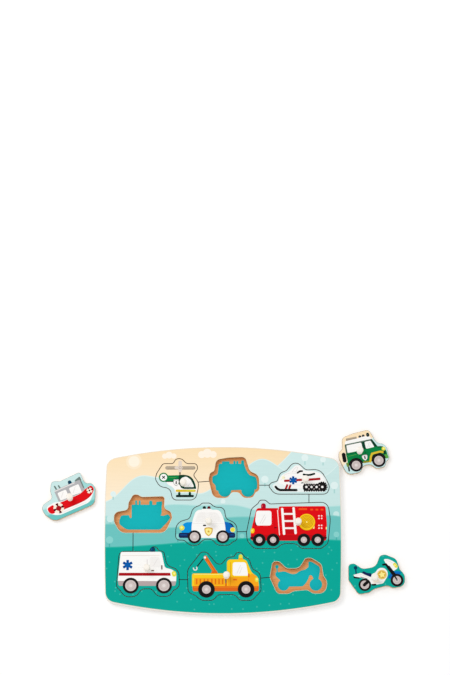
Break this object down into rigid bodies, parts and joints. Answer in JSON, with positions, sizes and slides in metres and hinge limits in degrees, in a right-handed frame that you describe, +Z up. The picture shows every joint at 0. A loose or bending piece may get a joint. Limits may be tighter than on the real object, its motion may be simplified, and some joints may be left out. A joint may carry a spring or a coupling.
{
  "type": "peg puzzle",
  "caption": "Barrel-shaped wooden puzzle board with recessed emergency-vehicle tiles, each lifted out of its sawn opening by a small turned peg.",
  "frame": {"origin": "middle of the board's underside, on the table", "axes": "+X to the player's right along the board's width, +Y away from the player, +Z up out of the printed face"},
  "size_m": [0.4573, 0.2372, 0.023],
  "materials": {
    "base_wood": "sanded, clear matt lacquer",
    "printed_face": "printed, satin water-based lacquer",
    "peg_wood": "turned and smoothed, pale wash",
    "helicopter_print": "printed, satin water-based lacquer",
    "off_roader_print": "printed, satin water-based lacquer",
    "snowmobile_print": "printed, satin water-based lacquer",
    "boat_print": "printed, satin water-based lacquer",
    "police_car_print": "printed, satin water-based lacquer",
    "fire_truck_print": "printed, satin water-based lacquer",
    "ambulance_print": "printed, satin water-based lacquer",
    "tow_truck_print": "printed, satin water-based lacquer",
    "motorcycle_print": "printed, satin water-based lacquer"
  },
  "bodies": {
    "board": {"base_board": "base_wood", "face_board": "printed_face"},
    "helicopter": {"helicopter_tile": "helicopter_print", "helicopter_peg": "peg_wood"},
    "off_roader": {"off_roader_tile": "off_roader_print", "off_roader_peg": "peg_wood"},
    "snowmobile": {"snowmobile_tile": "snowmobile_print", "snowmobile_peg": "peg_wood"},
    "boat": {"boat_tile": "boat_print", "boat_peg": "peg_wood"},
    "police_car": {"police_car_tile": "police_car_print", "police_car_peg": "peg_wood"},
    "fire_truck": {"fire_truck_tile": "fire_truck_print", "fire_truck_peg": "peg_wood"},
    "ambulance": {"ambulance_tile": "ambulance_print", "ambulance_peg": "peg_wood"},
    "tow_truck": {"tow_truck_tile": "tow_truck_print", "tow_truck_peg": "peg_wood"},
    "motorcycle": {"motorcycle_tile": "motorcycle_print", "motorcycle_peg": "peg_wood"}
  },
  "joints": [
    {"name": "helicopter_lift", "type": "slide", "parent": "board", "child": "helicopter", "axis": [0, 0, 1], "range_m": [0, 0.03]},
    {"name": "off_roader_lift", "type": "slide", "parent": "board", "child": "off_roader", "axis": [0, 0, 1], "range_m": [0, 0.03]},
    {"name": "snowmobile_lift", "type": "slide", "parent": "board", "child": "snowmobile", "axis": [0, 0, 1], "range_m": [0, 0.03]},
    {"name": "boat_lift", "type": "slide", "parent": "board", "child": "boat", "axis": [0, 0, 1], "range_m": [0, 0.03]},
    {"name": "police_car_lift", "type": "slide", "parent": "board", "child": "police_car", "axis": [0, 0, 1], "range_m": [0, 0.03]},
    {"name": "fire_truck_lift", "type": "slide", "parent": "board", "child": "fire_truck", "axis": [0, 0, 1], "range_m": [0, 0.03]},
    {"name": "ambulance_lift", "type": "slide", "parent": "board", "child": "ambulance", "axis": [0, 0, 1], "range_m": [0, 0.03]},
    {"name": "tow_truck_lift", "type": "slide", "parent": "board", "child": "tow_truck", "axis": [0, 0, 1], "range_m": [0, 0.03]},
    {"name": "motorcycle_lift", "type": "slide", "parent": "board", "child": "motorcycle", "axis": [0, 0, 1], "range_m": [0, 0.03]}
  ]
}
